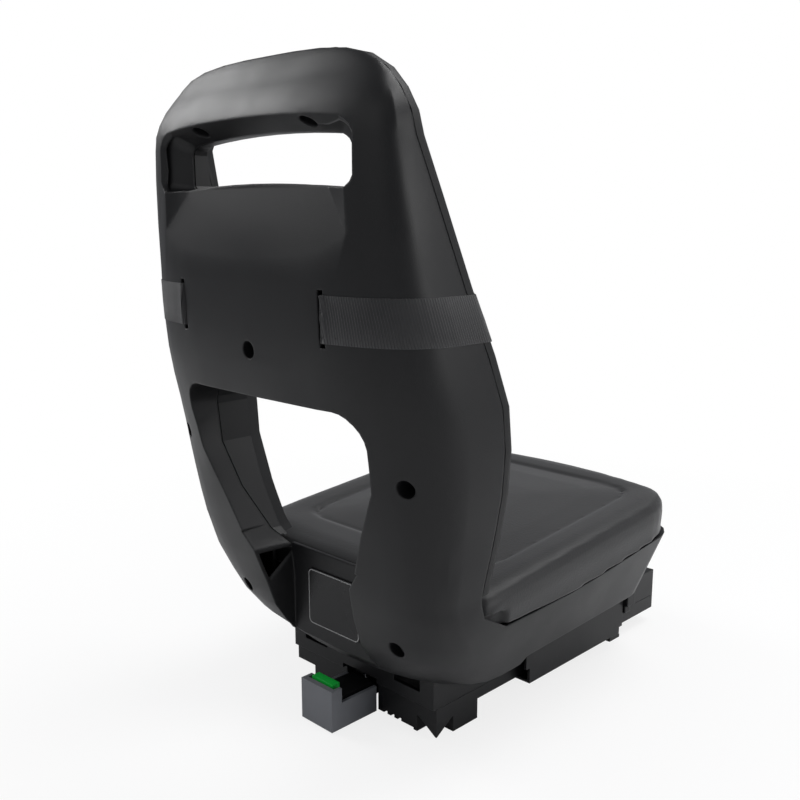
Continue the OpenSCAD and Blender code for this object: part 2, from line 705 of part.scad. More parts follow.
board_half = 130.8;
module seat_board() {
  edge = wall + 3;
  color(shell_black)
    difference() {
      intersection() {
        difference() {
          above_rim(joint_gap - gap - board_t);
          above_rim(joint_gap - gap);
        }
        translate([0, 0, floor_z])
          linear_extrude(100)
            polygon(concat(
              [for (x = [-1, 1]) [x * 118, -176]],
              [for (p = [[board_half, -150], [board_half, front_y - front_r - 8],
                         [126, front_y - edge - 7], [114, front_y - edge]]) p],
              [for (p = [[114, front_y - edge], [126, front_y - edge - 7],
                         [board_half, front_y - front_r - 8], [board_half, -150]]) [-p[0], p[1]]]));
      }
      board_holes(board_screw_d + 0.6);
      for (p = [[-100, -178], [78, -178]])
        translate([p[0], p[1] - 10, floor_z]) cube([24, 16, 90]);
      for (x = [-60, 0, 60])
        for (y = [-60, 0])
          translate([x, y, floor_z]) cylinder(h = 90, d = 30, $fn = 40);
    }
}

module board_screw(i) {
  p = board_spots[i];
  color(metal_grey)
    translate([p[0], p[1], board_low(p[1])])
      rotate([rim_tilt(p[1]), 0, 0])
        difference() {
          union() {
            translate([0, 0, board_t - board_screw_l])
              cylinder(h = board_screw_l - 1, d = board_screw_d - 0.8, $fn = 24);
            translate([0, 0, board_t - 2.4])
              cylinder(h = 2.4, d1 = board_screw_d - 0.8, d2 = board_head_d, $fn = 24);
          }
          translate([0, 0, board_t - 1.6]) cylinder(h = 3, d = 2.6, $fn = 24);
        }
}

// Seat cushion. Its outline is given by its right half, from the rear middle to the front.
cushion_half = waist_w / 2 - 1.5;
cushion_rear = 3 - label_y + joint_gap;
cushion_outline = concat(
  [for (x = [0, 25, 50, 75, 100]) [x, cushion_rear + 8 * pow(x / 115, 3)]],
  [[118, cushion_rear + 9.5], [131, cushion_rear + 14], [cushion_half - 2, cushion_rear + 21],
   [cushion_half, cushion_rear + 32], [cushion_half, -120], [cushion_half, -80],
   [cushion_half, -40], [cushion_half, 0], [cushion_half, 35]],
  [for (a = [0:15:90])
    [cushion_half * mix(0.77, 1, pow(cos(a), 0.9)), mix(60, front_y + 1, sin(a))]],
  [for (x = [88, 66, 44, 22, 0])
    [x, front_y + 1 + cushion_nose * (1 - pow(x / 110, 2))]]);
seam_middle = [0, -24.5];
seam_half = [107, 109];
// Point of the seam's rounded rectangle in the direction of outline point p
function seam_point(p) =
  let (d = p - seam_middle)
  seam_middle + d * pow(pow(abs(d[0]) / seam_half[0], 9) + pow(abs(d[1]) / seam_half[1], 9), -1 / 9);
function field_z(y) = mix(cushion_rear_z, cushion_front_z,
                          (y - seam_middle[1] + seam_half[1]) / (2 * seam_half[1]));
// Ring of the cushion: t is 0 on the outline, 1 on the seam and 2 in the middle
function cushion_point(p, t) =
  t <= 1.2 ? p + (seam_point(p) - p) * t
  : let (q = p + (seam_point(p) - p) * 1.2) q + (seam_middle - q) * (t - 1.2) / 0.8;
function cushion_ring(t, up) =
  whole_ring([for (o = cushion_outline) let (p = cushion_point(o, t)) [p[0], p[1], field_z(p[1]) + up]]);
function flat_ring(t, z) =
  whole_ring([for (o = cushion_outline) let (p = cushion_point(o, t)) [p[0], p[1], z]]);
function outset(points, i, d) =
  let (n = len(points), a = points[max(i - 1, 0)], b = points[min(i + 1, n - 1)],
       t = i == 0 || i == n - 1 ? [b[0] - a[0], 0] : [b[0] - a[0], b[1] - a[1]],
       l = norm(t))
  [points[i][0] + d * t[1] / l, points[i][1] - d * t[0] / l];

// Notches in the cushion's lower rear corners, which clear the shell's walls
rear_notch_x = 135.6;
rear_notch_y = 146;
module seat_cushion() {
  color(pad_grey)
    difference() {
      loft([flat_ring(0.02, rim_z - 6), cushion_ring(0.01, -26), cushion_ring(-0.02, -14),
            cushion_ring(0, -5), cushion_ring(0.1, cushion_roll - 2.6),
            cushion_ring(0.24, cushion_roll - 0.5), cushion_ring(0.45, cushion_roll),
            cushion_ring(0.93, cushion_roll - 1.6), cushion_ring(1, -2.2),
            cushion_ring(1.08, 0), cushion_ring(1.35, 2.6), cushion_ring(1.65, 4.6),
            cushion_ring(1.93, 5.4)]);
      difference() {
        translate([-200, -250, 0]) cube([400, 450, 200]);
        above_rim(joint_gap);
      }
      for (side = [-1, 1])
        translate([side * (rear_notch_x + 10) - 10, -200, rim_z - 20])
          cube([20, 200 - rear_notch_y, 34]);
      translate([-40, -200, rim_z - 20]) cube([80, 11.4, 33.5]);
    }
}

module rounded_plate(w, h, r) {
  square([w - 2 * r, h], center = true);
  square([w, h - 2 * r], center = true);
  for (x = [-1, 1])
    for (y = [-1, 1])
      translate([x * (w / 2 - r), y * (h / 2 - r)]) circle(r, $fn = 24);
}

// Bare label plate on the label panel
module label_plate() {
  t = 1.2;
  color([0.05, 0.05, 0.05])
    translate([0, -label_y - 0.15, mix(floor_z, window_low, 0.53)])
      rotate([90, 0, 0])
        difference() {
          linear_extrude(t) rounded_plate(label_w, label_h, 5);
          translate([0, 0, t - 0.4])
            linear_extrude(1) difference() {
              rounded_plate(label_w - 2, label_h - 2, 4.5);
              rounded_plate(label_w - 3.2, label_h - 3.2, 4);
            }
        }
}

// One screw of the case, placed by its row in case_screws
module case_screw(i) {
  seat = case_screws[i][4];
  color(metal_grey)
    at_screw(case_screws[i])
      difference() {
        union() {
          translate([0, 0, seat - case_head_h])
            cylinder(h = case_head_h - 0.05, d = case_head_d, $fn = 32);
          translate([0, 0, seat - 1])
            cylinder(h = case_screw_l + 1, d = case_screw_d - 0.9, $fn = 24);
        }
        translate([0, 0, seat - case_head_h - 1]) cylinder(h = 3, d = 3.6, $fn = 24);
      }
}

// Webbing: a band round the shell and the pad, drawn through the two slots. Right half of
// its middle line at height z, from the rear middle to the front middle.
belt_lift = gap + belt_t / 2;
function belt_side(z) =
  let (s = station_at(z), w = smooth(HALF_W, s), part = smooth(PART, s), t = pad_t,
       out = rear_face(slot_x, z), in = out + wall)
  concat(
    [for (x = [0, 20, 40, 60, slot_x - 8]) [x, rear_face(x, z) + wall + belt_lift + 0.5]],
    [[slot_x - 2.5, in + belt_lift + 0.6], [slot_x, (in + out) / 2], [slot_x + 2.1, out - 2]],
    [for (x = [slot_x + 9, slot_x + 19]) [x, rear_face(x, z) - belt_lift - 0.3]],
    [for (j = [3:0.5:REAR_STEPS])
      let (p = rear_point(s, j, REAR_STEPS, 0), q = rear_point(s, j - 0.2, REAR_STEPS, 0),
           r = rear_point(s, min(j + 0.2, REAR_STEPS), REAR_STEPS, 0), v = r - q)
      [p[0], p[1]] + (belt_lift + 0.3) * [-v[1], v[0]] / -norm(v)],
    [[w + belt_lift + 0.3, part + t * 0.4],
     [w - t * 0.08 + 1.4, part + t * 0.66 + 0.6],
     [w - t * 0.3 + 0.9, part + t * 0.85 + 1.4],
     [w - t * 0.7 + 0.3, part + t + 2.2]],
    [for (i = [5:-1:0])
      let (x = (w - t) * i / 6.4) [x, panel_y(x, s) + gap + panel_t + t + front_lift]]);
function belt_ring(z, off) =
  let (line = belt_side(z))
  whole_ring([for (i = [0:len(line) - 1])
    let (p = outset(line, i, off)) [p[0], p[1], z]]);
belt_rows = [for (i = [0:2]) belt_z + belt_w * (i - 1) / 2];
front_lift = belt_lift + 1;
function front_belt_at(x, z) = panel_y(x, station_at(z)) + gap + panel_t + pad_t + front_lift;
function belt_tilt(x) = atan((front_belt_at(x, belt_z - 16) - front_belt_at(x, belt_z + 16)) / 32);

module belt_webbing() {
  color(shell_black)
    difference() {
      loft([for (z = belt_rows) belt_ring(z, belt_t / 2)]);
      loft([for (z = [belt_rows[0] - 1, belt_rows[1], belt_rows[2] + 1])
        belt_ring(z, -belt_t / 2)]);
      translate([-buckle_gap / 2, front_belt_at(0, belt_z) - 30, belt_z - 30])
        cube([buckle_gap, 60, 60]);
    }
}

// Buckle in front of the pad: the webbing's ends sit in pockets of the socket and the tongue
buckle_gap = 44;
buckle_w = 34;
buckle_h = belt_w + 10;
buckle_t = 11;
prong_l = 16;
module buckle_block(w) {
  rotate([90, 0, 0])
    translate([0, 0, -buckle_t / 2])
      linear_extrude(buckle_t)
        rounded_plate(w, buckle_h, 4);
}

module webbing_pocket(x0, x1) {
  translate([x0, -belt_t / 2 - 3, -belt_w / 2 - 0.6])
    cube([x1 - x0, belt_t + 6, belt_w + 1.2]);
}

module at_buckle() {
  translate([0, front_belt_at(0, belt_z), belt_z])
    rotate([belt_tilt(0), 0, 0])
      translate([0, buckle_t / 2 - front_lift + 2 * gap, 0])
        children();
}

module buckle_socket() {
  color(shell_black)
    at_buckle()
      difference() {
        translate([buckle_w / 2, 0, 0]) buckle_block(buckle_w);
        translate([-1, -3, -buckle_h / 2 + 4]) cube([prong_l + 2, 6, buckle_h - 8]);
        translate([buckle_w - 14, -buckle_t / 2 - 1, -belt_w / 2 - 1])
          cube([20, 6, belt_w + 2]);
      }
}

module buckle_tongue() {
  color(shell_black)
    at_buckle()
      difference() {
        union() {
          translate([-buckle_w / 2 + 4, 0, 0]) buckle_block(buckle_w - 8 - gap);
          for (z = [-1, 1])
            translate([-6, -2.5, z * 12 - 2.5]) cube([prong_l + 6, 5, 5]);
        }
        translate([-buckle_w - 6, -buckle_t / 2 - 1, -belt_w / 2 - 1])
          cube([20, 6, belt_w + 2]);
      }
}

// Keeper on the webbing beside the buckle
slider_x = -62;
module belt_slider() {
  turn = atan((front_belt_at(slider_x + 6, belt_z) - front_belt_at(slider_x - 6, belt_z)) / 12);
  color(shell_black)
    translate([slider_x, front_belt_at(slider_x, belt_z), belt_z])
      rotate([0, 0, turn])
        rotate([90 + belt_tilt(slider_x), 0, 0])
          translate([0, 0, -3])
            difference() {
              linear_extrude(2.4 + front_lift) rounded_plate(14, belt_w + 9, 3);
              translate([-20, -belt_w / 2 - 1.2, 1]) cube([40, belt_w + 2.4, 1.3 + front_lift]);
            }
}

// Adapter tray: a box open downwards, with bosses for the seat bolts
tray_top_t = adapter_wall;
nut_af = 10;
nut_h = 5;
bolt_seat_z = floor_z - tray_top_t - 3;
lock_gate_w = lock_w + 2 * slide_gap + 3;
lock_gate_top = 31;
module adapter_tray() {
  color(shell_black)
    difference() {
      union() {
        difference() {
          translate([-adapter_w / 2, rear_end, frame_h + gap / 2])
            cube([adapter_w, adapter_l, tray_h - gap]);
          translate([-adapter_w / 2 + adapter_wall, rear_end + adapter_wall, frame_h - 1])
            cube([adapter_w - 2 * adapter_wall, adapter_l - 2 * adapter_wall,
                  tray_h - tray_top_t - gap / 2 + 1]);
        }
        for (p = bolt_spots)
          translate([p[0], p[1], bolt_seat_z]) cylinder(h = 5, d = 18, $fn = 32);
        for (x = [-36.8, 36.8])
          translate([x - 1.2, rear_end + 1, frame_h + 8])
            cube([2.4, adapter_l - 2, tray_h - 8 - tray_top_t]);
        for (y = [-110, -30, 80, 125])
          translate([-adapter_w / 2 + 1, y - 1.2, frame_h + 8])
            cube([adapter_w - 2, 2.4, tray_h - 8 - tray_top_t]);
      }
      for (p = bolt_spots)
        translate([p[0], p[1], frame_h]) cylinder(h = 40, d = seat_bolt_d + 0.6, $fn = 24);
      for (side = [-1, 1])
        translate([side * 55.5 - 14.5, rear_end - 1, frame_h + 11])
          cube([29, adapter_wall + 2, tray_h - 11 - tray_top_t]);
      translate([-lock_gate_w / 2, rear_end - 1, frame_h - 1])
        cube([lock_gate_w, adapter_wall + 2, lock_gate_top - frame_h + 1]);
    }
}

// Adapter frame: corner blocks, side rails, front block, lock guide and front hooks
frame_rear = rear_end + adapter_wall;
rail_w = 14;
front_block_y = plate_l / 2 + 12.5;
front_block_z = 13;
guide_x = lock_w / 2 + slide_gap;
guide_t = 4;
stop_y = frame_rear + 12;
deck_t = 3;
module adapter_frame() {
  half = adapter_w / 2;
  top = frame_h - gap / 2;
  color(shell_black)
    difference() {
      union() {
        // rear wall and corner blocks
        translate([-half, frame_rear, 1.7]) cube([adapter_w, 12, top - 1.7]);
        for (side = [0, 1])
          mirror([side, 0, 0]) {
            translate([half - 25, frame_rear, 0]) cube([25, block_l, top]);
            translate([half - rail_w, frame_rear, rail_z])
              cube([rail_w, front_end - frame_rear, top - rail_z]);
            // front hooks
            translate([half - 5, front_block_y, 3]) cube([5, 15, front_block_z - 2]);
            translate([half - 9, front_block_y, 0]) cube([9, 17, 3]);
            // lock guide
            translate([guide_x, frame_rear, 4]) cube([guide_t, 108, top - 4]);
          }
        // front block and cross members
        translate([-half, front_block_y, front_block_z])
          cube([adapter_w, front_end - front_block_y, top - front_block_z]);
        for (y = [-60, 20])
          translate([-half + 2, y, rail_z]) cube([adapter_w - 4, 6, top - rail_z]);
        // deck over the lock
        translate([-guide_x - 2, frame_rear, top - deck_t])
          cube([2 * guide_x + 4, 108, deck_t]);
        // stops of the springs
        for (side = [0, 1])
          mirror([side, 0, 0])
            translate([spring_x - 5, stop_y - 4, 10]) cube([guide_x - spring_x + 6, 4, top - 10]);
      }
      // lock gate in the rear wall
      translate([-guide_x, frame_rear - 1, -1]) cube([2 * guide_x, 10, top + 2]);
      translate([-guide_x, frame_rear + 7, -1]) cube([2 * guide_x, 6, 21]);
      translate([-spring_x + 5, frame_rear + 7, -1]) cube([2 * spring_x - 10, 6, top - 2]);
      // hollow front block and corner blocks
      translate([-half + 8, front_block_y + 4, front_block_z - 1])
        cube([adapter_w - 16, front_end - front_block_y - 8, top - front_block_z - 3]);
      for (side = [0, 1])
        mirror([side, 0, 0])
          translate([half - 21, frame_rear + 24, -1]) cube([17, block_l - 28, top - 8]);
      // cut-outs of the rear corners
      translate([half - 21, frame_rear - 1, -1]) cube([22, 21, 15]);
      translate([-half - 1, frame_rear - 1, -1]) cube([24, 21, 13.8]);
      for (x = [-half + rail_w / 2, half - rail_w / 2])
        for (y = plate_bolt_y)
          translate([x, y, rail_z - 1]) cylinder(h = plate_bolt_l - plate_t, d = 4.2, $fn = 24);
      // teeth of the rear wall's lower edge
      for (x = [26, 34, 42])
        translate([x, frame_rear - 1, 0]) cube([4, 14, 4]);
    }
  // pointed post in the right rear cut-out
  color(shell_black)
    translate([half - 21, frame_rear, 0])
      polyhedron(points = [[1, 0, 14.4], [21, 0, 14.4], [21, 20, 14.4], [1, 20, 14.4],
                           [19, 1, 1.7], [20, 1, 1.7], [20, 2, 1.7], [19, 2, 1.7]],
                 faces = [[3, 2, 1, 0], [4, 5, 6, 7], [0, 1, 5, 4], [1, 2, 6, 5],
                          [2, 3, 7, 6], [3, 0, 4, 7]]);
}

// Side plates: bent sheet with a flange below the frame's rail, two bolts each
plate_front = plate_l / 2 + 13.5;
plate_bolt_y = [plate_front - plate_l + 26, plate_front - 26];
plate_bolt_l = 12;
plate_top = rail_z + plate_h + 0.5;
module side_plate() {
  low = rail_z - plate_t - 0.1;
  rear = plate_front - plate_l;
  difference() {
    union() {
      translate([plate_x - plate_t, 0, 0])
        rotate([90, 0, 90])
          linear_extrude(plate_t)
            polygon([[rear + 5, low], [plate_front - 5, low], [plate_front - 5, low + 6],
                     [plate_front, low + 6], [plate_front, plate_top - 8],
                     [plate_front - 8, plate_top], [rear + 8, plate_top],
                     [rear, plate_top - 8], [rear, low + 14], [rear + 5, low + 14]]);
      translate([adapter_w / 2 - rail_w, rear + 5, low])
        cube([plate_x - adapter_w / 2 + rail_w - 0.5, plate_l - 10, plate_t]);
    }
    for (y = plate_bolt_y)
      translate([adapter_w / 2 - rail_w / 2, y, low - 1])
        cylinder(h = plate_t + 2, d = 5.5, $fn = 24);
  }
}

module side_plate_right() {
  color(shell_black) side_plate();
}

module side_plate_left() {
  color(shell_black) mirror([1, 0, 0]) side_plate();
}

module plate_bolt(i) {
  x = (i < 2 ? -1 : 1) * (adapter_w / 2 - rail_w / 2);
  color(metal_grey)
    translate([x, plate_bolt_y[i % 2], rail_z - plate_t - 0.2])
      difference() {
        union() {
          translate([0, 0, -3]) cylinder(h = 3, d = 9, $fn = 32);
          translate([0, 0, -1]) cylinder(h = plate_bolt_l, d = 4, $fn = 24);
        }
        translate([0, 0, -4]) cylinder(h = 2.6, d = 3, $fn = 24);
      }
}

// Seat bolts hold the bucket on the tray
module seat_bolt(i) {
  z = floor_z + wall;
  color(metal_grey)
    translate([bolt_spots[i][0], bolt_spots[i][1], z])
      difference() {
        union() {
          translate([0, 0, 0.1]) cylinder(h = 3.5, d = 13, $fn = 32);
          translate([0, 0, bolt_seat_z - nut_h - 3 - z])
            cylinder(h = z - bolt_seat_z + nut_h + 4, d = seat_bolt_d, $fn = 24);
        }
        translate([0, 0, 1.6]) cylinder(h = 3, d = 4, $fn = 24);
      }
}

module seat_nut(i) {
  color(metal_grey)
    translate([bolt_spots[i][0], bolt_spots[i][1], bolt_seat_z - nut_h - 0.1])
      difference() {
        cylinder(h = nut_h, d = nut_af / cos(30), $fn = 6);
        translate([0, 0, -1]) cylinder(h = nut_h + 2, d = seat_bolt_d + 0.1, $fn = 24);
      }
}

// Lock: a handle that is pulled out rearwards, with the slide that it carries
lock_end = rear_end - lock_out;
lock_wall = 3;
lock_low = 0.6;
lock_side_h = 22.4;
cheek_l = 11;
slide_w = 15;
slide_z = 8;
slide_t = 8;
head_y = stop_y + 46;
spring_x = 13.5;
spring_d = 8;
module lock_handle() {
  half = lock_w / 2;
  front = rear_end + 14;
  color(lock_grey)
    difference() {
      union() {
        translate([-half, lock_end, lock_low]) cube([lock_w, 5, lock_h]);
        for (side = [0, 1])
          mirror([side, 0, 0]) {
            translate([half - lock_wall, lock_end, lock_low]) cube([lock_wall, cheek_l, lock_h]);
            translate([half - lock_wall, lock_end, lock_low])
              cube([lock_wall, front - lock_end - 12, lock_side_h]);
          }
        translate([-half, lock_end, lock_low]) cube([lock_w, front - lock_end - 12, 3]);
        translate([-slide_w / 2, front - 30, lock_low]) cube([slide_w, 18, slide_z - lock_low - gap]);
      }
      for (y = [front - 24, front - 17])
        translate([0, y, -5]) cylinder(h = 20, d = 3.4, $fn = 24);
    }
}

module lock_slide() {
  front = rear_end + 14;
  color(shell_black)
    difference() {
      union() {
        translate([-slide_w / 2, front - 30, slide_z]) cube([slide_w, head_y + 30 - front + 2, slide_t]);
        translate([-guide_x + 1, head_y, slide_z]) cube([2 * guide_x - 2, 8, 13]);
        for (side = [-1, 1])
          translate([side * (guide_x - 7) - 3, head_y, 1.5]) cube([6, 22, 8]);
      }
      for (y = [front - 24, front - 17])
        translate([0, y, -5]) cylinder(h = 18, d = 2.6, $fn = 24);
    }
}

// Fixed tongue in the handle's hollow, with the two-coloured indicator on its end
tongue_w = 26;
tongue_end = lock_end + 7;
tongue_z = slide_z + slide_t + 1;
module lock_tongue() {
  color(shell_black)
    difference() {
      union() {
        translate([-tongue_w / 2, tongue_end, tongue_z])
          cube([tongue_w, frame_rear - tongue_end - gap, 7]);
        translate([-tongue_w / 2, tongue_end, 6]) cube([tongue_w, 4, 25]);
        translate([-tongue_w / 2, tongue_end, 28]) cube([tongue_w, 9, 3.4]);
      }
      translate([-slide_w / 2 - 1, tongue_end - 1, 5]) cube([slide_w + 2, 6, 12]);
    }
}

module indicator_white() {
  color([0.9, 0.9, 0.9])
    translate([-11.8, tongue_end, 31.4 + 0.1]) cube([23.6, 6.5, 1.2]);
}

module indicator_green() {
  color([0.05, 0.7, 0.15])
    translate([-12.6, tongue_end - 0.5, 32.8]) cube([25.2, 7.5, 4.5]);
}

// Return spring, a round wire bent to a helix
coils = 6;
module spring(x) {
  wire = 1.1;
  r = (spring_d - wire) / 2;
  long = head_y - stop_y - 2 * gap - wire;
  steps = coils * 9;
  color(metal_grey)
    translate([x, stop_y + gap + wire / 2, slide_z + 7])
      loft([for (k = [steps:-1:0])
        let (a = 360 * coils * k / steps)
        [for (j = [0:4])
          let (b = 72 * j, q = r + wire / 2 * cos(b))
          [q * cos(a), long * k / steps + wire / 2 * sin(b), q * sin(a)]]]);
}

rear_shell();
back_panel();
back_pad();
seat_board();
seat_cushion();
label_plate();
belt_webbing();
buckle_socket();
buckle_tongue();
belt_slider();
case_screw(0);  // handle_screw_left
case_screw(1);  // handle_screw_right
case_screw(2);  // centre_screw
case_screw(3);  // leg_screw_left
case_screw(4);  // leg_screw_right
case_screw(5);  // foot_screw_left
case_screw(6);  // foot_screw_right
adapter_tray();
adapter_frame();
side_plate_left();
side_plate_right();
lock_handle();
lock_slide();
lock_tongue();
indicator_green();
indicator_white();
spring(-spring_x);  // lock_spring_left
spring(spring_x);  // lock_spring_right
for (i = [0:3]) {
  plate_bolt(i);
  board_screw(i);
  seat_bolt(i);
  seat_nut(i);
}
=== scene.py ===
import math

import bmesh
import bpy
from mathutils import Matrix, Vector


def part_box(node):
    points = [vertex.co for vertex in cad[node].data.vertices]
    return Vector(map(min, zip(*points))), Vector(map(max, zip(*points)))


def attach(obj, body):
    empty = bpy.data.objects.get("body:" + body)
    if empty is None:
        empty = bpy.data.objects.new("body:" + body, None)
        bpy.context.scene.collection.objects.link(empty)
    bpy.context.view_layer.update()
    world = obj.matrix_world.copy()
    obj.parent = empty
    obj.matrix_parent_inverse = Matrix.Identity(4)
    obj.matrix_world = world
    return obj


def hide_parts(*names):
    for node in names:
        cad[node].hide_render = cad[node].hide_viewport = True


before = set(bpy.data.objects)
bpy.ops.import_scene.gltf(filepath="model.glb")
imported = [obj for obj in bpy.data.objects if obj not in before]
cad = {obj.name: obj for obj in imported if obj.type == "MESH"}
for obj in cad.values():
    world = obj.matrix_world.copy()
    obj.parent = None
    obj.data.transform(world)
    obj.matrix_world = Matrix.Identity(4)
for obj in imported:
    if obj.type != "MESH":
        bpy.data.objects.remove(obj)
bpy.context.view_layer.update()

scene = bpy.context.scene

# Studio
# The seat stands on a plain pale floor in front of a white surround, as in a catalogue
# picture. The camera looks at the rear and the right side, a little from above.
CAMERA_PLACE = (0.545, -0.66708, 0.4072)
CAMERA_TURN = math.radians(44.7)
CAMERA_TILT = math.radians(11.0)
CAMERA_LENS = 42.615
CAMERA_SENSOR = 36
CAMERA_NEAR = 0.02
WHITE = (1, 1, 1)
SKY_TINT = (0.93, 0.95, 1)
SKY_STRENGTH = 0.3
FLOOR_TINT = (0.92, 0.92, 0.92)
FLOOR_HALF = 9
FLOOR_DROP = 0.0004
# The floor goes from nearly white to pure white between these distances from the seat
GLOW_FROM, GLOW_TO = 0.2, 0.8
GLOW_NEAR, GLOW_FAR = 0.8, 1.0
# Name, place, target, size in metres and power in watts of each soft box
SOFT_BOXES = (
    ("box_above", (0.3, 0.5, 1.5), (0, 0, 0.3), 0.9, 13),
    ("box_right", (1.5, 0.35, 0.75), (0.1, 0, 0.3), 0.8, 9),
    ("box_left", (-1.3, -0.55, 1.15), (0, -0.2, 0.35), 0.6, 10),
    ("box_camera", (0.15, -1.5, 1.1), (0, -0.1, 0.25), 1.2, 3),
)


def shader(tree, kind, **values):
    """New node of a kind, with some of its inputs set: a colour or a number each."""
    node = tree.nodes.new(f"ShaderNode{kind}")
    for key, value in values.items():
        socket = node.inputs[key.replace("_", " ")]
        socket.default_value = (*value, 1) if isinstance(value, tuple) else value
    return node


def mapped(tree, value, low, high, out_low, out_high):
    """A socket's value moved from the range low to high into another range."""
    node = shader(tree, "MapRange", From_Min=low, From_Max=high, To_Min=out_low, To_Max=out_high)
    tree.links.new(value, node.inputs["Value"])
    return node.outputs[0]


def either(tree, share, first, second):
    """Surface that goes from the first shader to the second as share goes from 0 to 1."""
    node = shader(tree, "MixShader")
    for socket, value in zip(node.inputs, (share, first.outputs[0], second.outputs[0])):
        tree.links.new(value, socket)
    return node.outputs[0]


def show(data, name):
    """Object of a name in the scene, with the given data."""
    made = bpy.data.objects.new(name, data)
    scene.collection.objects.link(made)
    return made


scene.view_settings.view_transform = "Standard"
camera_data = bpy.data.cameras.new("camera")
camera_data.sensor_width = CAMERA_SENSOR
camera_data.lens = CAMERA_LENS
camera_data.clip_start = CAMERA_NEAR
camera = show(camera_data, "camera")
camera.location = CAMERA_PLACE
camera.rotation_euler = (math.pi / 2 - CAMERA_TILT, 0, CAMERA_TURN)
scene.camera = camera

surround = bpy.data.worlds.new("surround")
surround.use_nodes = True
scene.world = surround
sky = surround.node_tree
sky.nodes.clear()
sky_light = shader(sky, "Background", Color=SKY_TINT, Strength=SKY_STRENGTH)
sky_white = shader(sky, "Background", Color=WHITE, Strength=1.0)
sky_seen = shader(sky, "LightPath").outputs["Is Camera Ray"]
sky_out = shader(sky, "OutputWorld")
sky.links.new(either(sky, sky_seen, sky_light, sky_white), sky_out.inputs[0])

paper = bpy.data.materials.new("floor_paper")
paper.use_nodes = True
tree = paper.node_tree
tree.nodes.clear()
matt = shader(tree, "BsdfDiffuse", Color=FLOOR_TINT)
glow = shader(tree, "Emission", Color=WHITE)
reach = shader(tree, "VectorMath")
reach.operation = "LENGTH"
tree.links.new(shader(tree, "TexCoord").outputs["Object"], reach.inputs[0])
whiteness = mapped(tree, reach.outputs["Value"], GLOW_FROM, GLOW_TO, GLOW_NEAR, GLOW_FAR)
seen = shader(tree, "Math")
seen.operation = "MULTIPLY"
tree.links.new(whiteness, seen.inputs[0])
tree.links.new(shader(tree, "LightPath").outputs["Is Camera Ray"], seen.inputs[1])
paper_out = shader(tree, "OutputMaterial")
tree.links.new(either(tree, seen.outputs[0], matt, glow), paper_out.inputs[0])
floor_mesh = bpy.data.meshes.new("floor")
floor_mesh.from_pydata([(x * FLOOR_HALF, y * FLOOR_HALF, 0)
                        for x, y in ((-1, -1), (1, -1), (1, 1), (-1, 1))], [], [(0, 1, 2, 3)])
floor_mesh.materials.append(paper)
floor = show(floor_mesh, "floor")
floor.location.z = -FLOOR_DROP

for name, place, target, size, power in SOFT_BOXES:
    lamp_data = bpy.data.lights.new(name, "AREA")
    lamp_data.size = size
    lamp_data.energy = power
    lamp = show(lamp_data, name)
    lamp.location = place
    lamp.rotation_euler = (Vector(target) - Vector(place)).to_track_quat("-Z", "Y").to_euler()

# Rear shell
# One injection moulding of black polypropylene with a fine spark-eroded grain. It is the
# seat's frame: back, handle and bucket. The case screws pull the back panel into it.
CLOUD_SCALE, CLOUD_DETAIL = 16, 4
GRAIN_DETAIL = 2
GRAIN_STRENGTH = 0.5
# Share of the colour in the darkest and palest clouds
CLOUD_DARK, CLOUD_PALE = 0.82, 1.2
# The clouds' middle range, and how much smoother and rougher it makes the surface
CLOUD_LOW, CLOUD_HIGH = 0.3, 0.7
SMOOTHER, ROUGHER = 0.05, 0.06
BEVEL_SAMPLES = 4
SPECULAR_LEVEL = 0.3
# Where face and bevel normals agree this far, the painted edge highlight starts and is full
HIGHLIGHT_START, HIGHLIGHT_FULL = 0.995, 0.9
# Colour of the painted edge highlight: the base colour this many times over, plus this much
HIGHLIGHT_BRIGHTER, HIGHLIGHT_PALER = 1.9, 0.01
# Sockets of a Mix node that mixes colours
MIX_FIRST, MIX_SECOND, MIX_COLOUR = 6, 7, 2
JOIN_DISTANCE = 2e-6
FLAT_ANGLE = math.radians(0.4)
SHELL_SHARP = math.radians(24)


def mixed(tree, share, first, second):
    """Colour from first to second, each a colour or a socket, as share goes from 0 to 1."""
    node = shader(tree, "Mix")
    node.data_type = "RGBA"
    tree.links.new(share, node.inputs[0])
    for i, value in ((MIX_FIRST, first), (MIX_SECOND, second)):
        if isinstance(value, tuple):
            node.inputs[i].default_value = (*value, 1)
        else:
            tree.links.new(value, node.inputs[i])
    return node.outputs[MIX_COLOUR]


